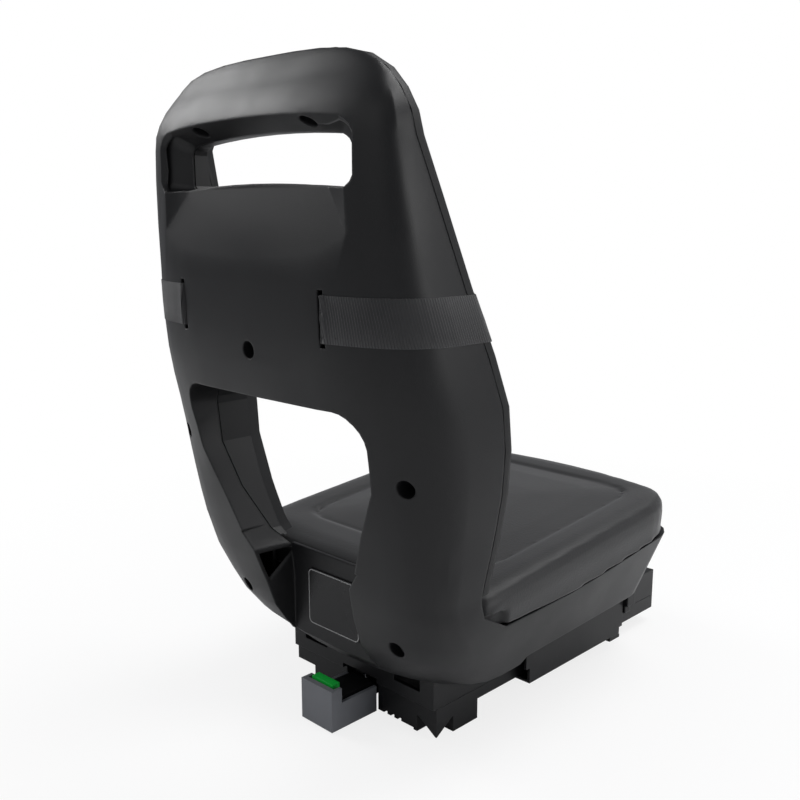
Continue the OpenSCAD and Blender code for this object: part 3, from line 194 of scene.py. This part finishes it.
def moulded(name, colour, rough, grain, depth, edge=0.0005, edge_highlight=0.35, metal=0.0, sheen=0.0,
            sheen_rough=0.5):
    """Material of a moulding: grain, slow changes in tone and gloss, painted edge highlights."""
    made = bpy.data.materials.new(name)
    made.use_nodes = True
    tree = made.node_tree
    link = tree.links.new
    skin = tree.nodes["Principled BSDF"]
    for key, value in (("Specular IOR Level", SPECULAR_LEVEL), ("Metallic", metal),
                       ("Sheen Weight", sheen), ("Sheen Roughness", sheen_rough)):
        skin.inputs[key].default_value = value
    place = shader(tree, "TexCoord").outputs["Object"]
    cloud = shader(tree, "TexNoise", Scale=CLOUD_SCALE, Detail=CLOUD_DETAIL)
    pebble = shader(tree, "TexNoise", Scale=grain, Detail=GRAIN_DETAIL)
    for pattern in (cloud, pebble):
        link(place, pattern.inputs["Vector"])
    tone = mixed(tree, cloud.outputs["Fac"], tuple(c * CLOUD_DARK for c in colour),
                 tuple(c * CLOUD_PALE for c in colour))
    link(mapped(tree, cloud.outputs["Fac"], CLOUD_LOW, CLOUD_HIGH,
                rough - SMOOTHER, rough + ROUGHER), skin.inputs["Roughness"])
    soften = shader(tree, "Bevel", Radius=edge)
    soften.samples = BEVEL_SAMPLES
    relief = shader(tree, "Bump", Strength=GRAIN_STRENGTH, Distance=depth)
    link(pebble.outputs["Fac"], relief.inputs["Height"])
    link(soften.outputs[0], relief.inputs["Normal"])
    link(relief.outputs[0], skin.inputs["Normal"])
    agree = shader(tree, "VectorMath")
    agree.operation = "DOT_PRODUCT"
    link(soften.outputs[0], agree.inputs[0])
    link(shader(tree, "NewGeometry").outputs["Normal"], agree.inputs[1])
    # Rounded edges and creases are painted paler: a painted highlight along them
    edge_highlight_share = mapped(tree, agree.outputs["Value"], HIGHLIGHT_START, HIGHLIGHT_FULL, 0, edge_highlight)
    link(mixed(tree, edge_highlight_share, tone, tuple(c * HIGHLIGHT_BRIGHTER + HIGHLIGHT_PALER for c in colour)),
         skin.inputs["Base Color"])
    return made


def joined(node):
    """Work mesh of a CAD node, with the corners of its loose triangles joined."""
    source = cad[node].data
    loose = bpy.data.meshes.new("loose")
    loose.from_pydata([v.co for v in source.vertices], [], [p.vertices for p in source.polygons])
    work = bmesh.new()
    work.from_mesh(loose)
    bpy.data.meshes.remove(loose)
    bmesh.ops.remove_doubles(work, verts=work.verts, dist=JOIN_DISTANCE)
    return work


def faired(node, name, material, sharp):
    """Copy of a CAD node whose facets run into smooth surfaces, with edges over sharp kept."""
    work = joined(node)
    bmesh.ops.dissolve_limit(work, angle_limit=FLAT_ANGLE, verts=work.verts, edges=work.edges)
    for face in work.faces:
        face.smooth = True
    for line in work.edges:
        line.smooth = line.is_manifold and line.calc_face_angle(0) < sharp
    mesh = bpy.data.meshes.new(name)
    work.to_mesh(mesh)
    work.free()
    mesh.materials.append(material)
    piece = show(mesh, name)
    even = piece.modifiers.new("even_shading", "WEIGHTED_NORMAL")
    even.keep_sharp = True
    return piece


shell_grain = moulded("shell_grain", (0.0065, 0.0065, 0.0072), rough=0.44, grain=1500,
                      depth=0.00012, edge=0.0022)
shell = faired("rear_shell", "shell_moulding", shell_grain, SHELL_SHARP)
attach(shell, "seat")
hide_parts("rear_shell")

# Back panel and case screws
# The panel closes the shell from the front and carries the pad. It is the same black
# moulding. The pan-head screws of dark zinc sit deep in round recesses.
# How many there are of each screw, bolt and nut that stands at the corners
CORNERS = 4


def dress(material, *names):
    """Gives CAD nodes a material in place of their plain ones."""
    for name in names:
        cad[name].data.materials.clear()
        cad[name].data.materials.append(material)


panel_grain = moulded("panel_grain", (0.006, 0.006, 0.0066), rough=0.46, grain=1300,
                      depth=0.0001)
dress(panel_grain, "back_panel", "seat_board")
screw_zinc = moulded("screw_zinc", (0.06, 0.06, 0.065), rough=0.34, grain=900,
                     depth=0.00004, edge_highlight=0.5, metal=0.9)
dress(screw_zinc, "centre_screw",
      *(f"{place}_screw_{side}" for place in ("handle", "leg", "foot")
        for side in ("left", "right")),
      *(f"{kind}_{i}" for kind in ("board_screw", "seat_bolt", "seat_nut", "plate_bolt")
        for i in range(1, CORNERS + 1)))

# Back pad
# Pad of integral-skin foam moulded to the panel's dish, with a coarser pebble grain than
# the shell. It is a firm moulding with its own edges, so it keeps the form of its mould.
PAD_SHARP = math.radians(38)
pad_skin = moulded("pad_skin", (0.009, 0.009, 0.0095), rough=0.58, grain=760, depth=0.0003,
                   edge_highlight=0.15)
pad = faired("back_pad", "back_pad_foam", pad_skin, PAD_SHARP)
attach(pad, "seat")
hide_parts("back_pad")

# Seat cushion
# Foam cushion under a grained, slightly shiny charcoal skin, with a moulded step round its
# top. The foam pushes the cover out a little between its edges, which the cloth step gives.
CUSHION_VOXEL = 0.003
CUSHION_PULL = 0.0012
CUSHION_SWELL = 0.0022
CUSHION_EVENINGS = 25
CUSHION_PRESSURE = 4
CUSHION_FRAMES = 20


def applied(piece, name):
    """Mesh of a piece with its modifiers applied. The piece itself is removed."""
    mesh = bpy.data.meshes.new_from_object(
        piece.evaluated_get(bpy.context.evaluated_depsgraph_get()))
    bpy.data.objects.remove(piece)
    mesh.name = name
    return mesh


def evened(mesh, values, rounds):
    """Values of a mesh's vertices, each averaged with its neighbours', rounds times over."""
    beside = [[] for _ in values]
    for line in mesh.edges:
        a, b = line.vertices
        beside[a].append(b)
        beside[b].append(a)
    for _ in range(rounds):
        values = [(values[i] + sum(values[k] for k in ring)) / (1 + len(ring))
                  for i, ring in enumerate(beside)]
    return values


def smoothed(mesh):
    """Shades every face of a mesh smooth."""
    for face in mesh.polygons:
        face.use_smooth = True


cushion_skin = moulded("cushion_skin", (0.018, 0.018, 0.0188), rough=0.47, grain=620,
                       depth=0.00035, edge_highlight=0.1, sheen=0.25, sheen_rough=0.4)
draft = faired("seat_cushion", "cushion_draft", cushion_skin, math.pi)
draft.modifiers.clear()
grid = draft.modifiers.new("even_grid", "REMESH")
grid.mode = "VOXEL"
grid.voxel_size = CUSHION_VOXEL
cushion_mesh = applied(draft, "seat_cushion_foam")
cushion_mesh.materials.clear()
cushion_mesh.materials.append(cushion_skin)
normals = [v.normal.copy() for v in cushion_mesh.vertices]
start = [v.co - n * CUSHION_PULL for v, n in zip(cushion_mesh.vertices, normals)]
for vertex, place in zip(cushion_mesh.vertices, start):
    vertex.co = place
cushion = show(cushion_mesh, "seat_cushion_foam")
swell = cushion.modifiers.new("swell", "CLOTH")
swell.settings.use_pressure = True
swell.settings.uniform_pressure_force = CUSHION_PRESSURE
swell.settings.effector_weights.gravity = 0
swell.point_cache.frame_start = 1
swell.point_cache.frame_end = CUSHION_FRAMES
for step in range(1, CUSHION_FRAMES + 1):
    scene.frame_set(step)
blown = cushion.evaluated_get(bpy.context.evaluated_depsgraph_get()).data
moved = [v.co.copy() for v in blown.vertices]
cushion.modifiers.remove(swell)
scene.frame_set(1)
swelling = [min(CUSHION_SWELL, max(0.0, (place - rest).dot(out)))
            for place, rest, out in zip(moved, start, normals)]
swelling = evened(cushion_mesh, swelling, CUSHION_EVENINGS)
for vertex, rest, out, grown in zip(cushion_mesh.vertices, start, normals, swelling):
    vertex.co = rest + out * grown
smoothed(cushion_mesh)
finer = cushion.modifiers.new("finer", "SUBSURF")
finer.levels = finer.render_levels = 1
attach(cushion, "seat")
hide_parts("seat_cushion")

# Label plate
# Bare glossy black plate in the recess between the legs, with a thin pale line let into it
# along its rounded edge.
LINE_INSET = 0.0013
LINE_CORNER = 0.0042
LINE_HALF = 0.0004
LINE_TINT = (0.5, 0.5, 0.5)
plate_low, plate_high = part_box("label_plate")
plate_middle = (plate_low + plate_high) / 2
# From the plate's middle to the middle of each corner's arc
arc = (plate_high - plate_low) / 2 - Vector((1, 1, 1)) * (LINE_INSET + LINE_CORNER)
label_gloss = moulded("label_gloss", (0.006, 0.006, 0.0066), rough=0.25, grain=500,
                      depth=0.00001, edge_highlight=0.1)
tree = label_gloss.node_tree


def worked(kind, *inputs):
    """Result of a Math node in the label's material on numbers or sockets."""
    node = shader(tree, "Math")
    node.operation = kind
    for socket, value in zip(node.inputs, inputs):
        if isinstance(value, (int, float)):
            socket.default_value = value
        else:
            tree.links.new(value, socket)
    return node.outputs[0]


apart = shader(tree, "SeparateXYZ")
tree.links.new(shader(tree, "TexCoord").outputs["Object"], apart.inputs[0])
out_x = worked("SUBTRACT", worked("ABSOLUTE", apart.outputs["X"]), arc.x)
from_middle = worked("ABSOLUTE", worked("SUBTRACT", apart.outputs["Z"], plate_middle.z))
out_z = worked("SUBTRACT", from_middle, arc.z)
far_x = worked("MAXIMUM", out_x, 0.0)
far_z = worked("MAXIMUM", out_z, 0.0)
from_arc = worked("SQRT", worked("ADD", worked("MULTIPLY", far_x, far_x),
                                 worked("MULTIPLY", far_z, far_z)))
inner = worked("MINIMUM", worked("MAXIMUM", out_x, out_z), 0.0)
off_line = worked("ABSOLUTE", worked("SUBTRACT", worked("ADD", from_arc, inner), LINE_CORNER))
on_line = worked("LESS_THAN", off_line, LINE_HALF)
label_colour = tree.nodes["Principled BSDF"].inputs["Base Color"]
plain = label_colour.links[0].from_socket
tree.links.new(mixed(tree, on_line, plain, LINE_TINT), label_colour)
dress(label_gloss, "label_plate")

# Webbing, buckle and keeper
# A polypropylene strap woven with ribs across its run. It passes behind the back through
# two slots and closes with a side-release buckle in front of the pad.
STRAP_T = 0.0013
RIB_PITCH = 0.0021
RIB_RADIUS = 0.00055
RIB_SIDES = 6
# Thickness of the sheet under the ribs and depth of its middle, as shares of STRAP_T
CORE_SHARE, CORE_DEPTH = 0.6, 0.62
# Heights of the strap's three rows of points, as shares of its width
ROW_SHARES = (0.01, 0.5, 0.99)
# The strap ends in the buckle: this far to each side, and in front of this y
BUCKLE_HALF = 0.022
FRONT_FROM = -0.05
# How much more a step behind FRONT_FROM counts than one away from BUCKLE_HALF
BEHIND_COUNTS = 10
strap_low, strap_high = (corner.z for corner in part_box("belt_webbing"))


def length_of(line):
    """Length of a line of points."""
    return sum((q - p).length for p, q in zip(line, line[1:]))


def section(node, height):
    """Closed line in which a level plane cuts a CAD node, as points in order."""
    work = joined(node)
    cut = bmesh.ops.bisect_plane(work, geom=work.verts[:] + work.edges[:] + work.faces[:],
                                 plane_co=(0, 0, height), plane_no=(0, 0, 1))["geom_cut"]
    near = {}
    for line in (g for g in cut if isinstance(g, bmesh.types.BMEdge)):
        a, b = line.verts
        near.setdefault(a, []).append(b)
        near.setdefault(b, []).append(a)
    first = max(near, key=lambda v: v.co.y)
    run = [first, near[first][0]]
    for _ in near:
        step = next(v for v in near[run[-1]] if v is not run[-2])
        if step is first:
            break
        run.append(step)
    points = [v.co.copy() for v in run]
    work.free()
    return points


def strap_line(height):
    """Outer line of the strap at one height, from the buckle round the back to the buckle."""
    points = section("belt_webbing", height)

    def from_end(i):
        """How far a point is from where the strap goes into the buckle."""
        sideways = abs(abs(points[i].x) - BUCKLE_HALF)
        return sideways + BEHIND_COUNTS * max(0, FRONT_FROM - points[i].y)

    ends = sorted(sorted(range(len(points)), key=from_end)[:4])
    stretches = [points[a:b + 1] if b > a else points[a:] + points[:b + 1]
                 for a, b in zip(ends, ends[1:] + ends[:1])]
    line = max(stretches, key=length_of)
    return line if line[0].x > line[-1].x else line[::-1]


def spaced(line, count):
    """count points at even steps along a line, each with its direction."""
    gone = [0.0]
    for p, q in zip(line, line[1:]):
        gone.append(gone[-1] + (q - p).length)
    result, i = [], 0
    for step in range(count):
        at = gone[-1] * step / (count - 1)
        while i < len(line) - 2 and gone[i + 1] < at:
            i += 1
        span = gone[i + 1] - gone[i]
        result.append((line[i].lerp(line[i + 1], (at - gone[i]) / span),
                       (line[i + 1] - line[i]).normalized()))
    return result


strap_lines = [strap_line(strap_low + (strap_high - strap_low) * share) for share in ROW_SHARES]
strap_l = length_of(strap_lines[1])
columns = int(strap_l / RIB_PITCH)
rows = len(strap_lines)
runs = [spaced(line, columns) for line in strap_lines]
middle = sum((p for p, d in runs[1]), Vector()) / columns
points = []
for column in zip(*runs):
    for place, along in column:
        inward = Vector((-along.y, along.x, 0))
        if inward.dot(Vector((middle.x, middle.y, 0)) - place) <= 0:
            inward = -inward
        points.append(place + inward * STRAP_T * CORE_DEPTH)
# The first point of each face of the strap's grid
corners = [c * rows + r for c in range(columns - 1) for r in range(rows - 1)]
strap_mesh = bpy.data.meshes.new("strap_web")
strap_mesh.from_pydata(points, [], [(a, a + rows, a + rows + 1, a + 1) for a in corners])
smoothed(strap_mesh)
strap_weave = moulded("strap_weave", (0.02, 0.02, 0.0212), rough=0.78, grain=2600,
                      depth=0.0002, edge_highlight=0.0, sheen=0.3)
strap_mesh.materials.append(strap_weave)
strap = show(strap_mesh, "strap_web")
thick = strap.modifiers.new("cloth_thickness", "SOLIDIFY")
thick.thickness = STRAP_T * CORE_SHARE
thick.offset = 0

# The ribs: each column of the strap's grid becomes a thin cord laid across it
weave = bpy.data.node_groups.new("strap_ribs", "GeometryNodeTree")
new_socket = weave.interface.new_socket
new_socket("Geometry", in_out="INPUT", socket_type="NodeSocketGeometry")
radius_socket = new_socket("Rib radius", in_out="INPUT", socket_type="NodeSocketFloat")
sides_socket = new_socket("Rib sides", in_out="INPUT", socket_type="NodeSocketInt")
new_socket("Geometry", in_out="OUTPUT", socket_type="NodeSocketGeometry")
g_in = weave.nodes.new("NodeGroupInput")
g_out = weave.nodes.new("NodeGroupOutput")
to_line = weave.nodes.new("GeometryNodeMeshToCurve")
ring = weave.nodes.new("GeometryNodeCurvePrimitiveCircle")
sweep = weave.nodes.new("GeometryNodeCurveToMesh")
sweep.inputs["Fill Caps"].default_value = True
real = weave.nodes.new("GeometryNodeRealizeInstances")
paint = weave.nodes.new("GeometryNodeSetMaterial")
paint.inputs["Material"].default_value = strap_weave
for source, target in ((g_in.outputs["Geometry"], to_line.inputs[0]),
                       (g_in.outputs["Rib radius"], ring.inputs["Radius"]),
                       (g_in.outputs["Rib sides"], ring.inputs["Resolution"]),
                       (to_line.outputs[0], sweep.inputs["Curve"]),
                       (ring.outputs[0], sweep.inputs["Profile Curve"]),
                       (sweep.outputs[0], real.inputs[0]),
                       (real.outputs[0], paint.inputs["Geometry"]),
                       (paint.outputs[0], g_out.inputs[0])):
    weave.links.new(source, target)
lines_mesh = bpy.data.meshes.new("strap_rib_lines")
lines_mesh.from_pydata(points, [(c * rows + r, c * rows + r + 1) for c in range(columns)
                                for r in range(rows - 1)], [])
rib_lines = show(lines_mesh, "strap_rib_lines")
laid = rib_lines.modifiers.new("ribs", "NODES")
laid.node_group = weave
laid[radius_socket.identifier] = RIB_RADIUS
laid[sides_socket.identifier] = RIB_SIDES
ribs_mesh = applied(rib_lines, "strap_ribs")
smoothed(ribs_mesh)
ribs = show(ribs_mesh, "strap_ribs")
for piece in (strap, ribs):
    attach(piece, "seat")
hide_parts("belt_webbing")

buckle_black = moulded("buckle_black", (0.007, 0.007, 0.0076), rough=0.38, grain=1200,
                       depth=0.00006)
dress(buckle_black, "buckle_socket", "buckle_tongue", "belt_slider")

# Adapter
# The seat clicks onto a carrier rack with a black glass-filled nylon base of two mouldings,
# with a side plate of coated steel along each flank.
adapter_black = moulded("adapter_black", (0.0055, 0.0055, 0.0062), rough=0.36, grain=1100,
                        depth=0.00008, edge=0.0007, edge_highlight=0.45)
dress(adapter_black, "adapter_tray", "adapter_frame", "lock_slide", "lock_tongue")
plate_coat = moulded("plate_coat", (0.0065, 0.0065, 0.0072), rough=0.4, grain=420,
                     depth=0.00012, edge_highlight=0.5)
dress(plate_coat, "side_plate_left", "side_plate_right")

# Lock
# Mid grey pull handle with a green and white indicator above it. Two springs of bare wire
# hold its slide forward.
handle_grey = moulded("handle_grey", (0.135, 0.14, 0.152), rough=0.44, grain=1300,
                      depth=0.0001, edge_highlight=0.3)
dress(handle_grey, "lock_handle")
green = moulded("indicator_green_gloss", (0.01, 0.42, 0.05), rough=0.3, grain=600,
                depth=0.00002, edge_highlight=0.1)
dress(green, "indicator_green")
white = moulded("indicator_white_gloss", (0.75, 0.75, 0.75), rough=0.3, grain=600,
                depth=0.00002, edge_highlight=0.0)
dress(white, "indicator_white")
spring_wire = moulded("spring_wire", (0.5, 0.5, 0.52), rough=0.28, grain=900,
                      depth=0.00002, edge_highlight=0.1, metal=1.0)
dress(spring_wire, "lock_spring_left", "lock_spring_right")
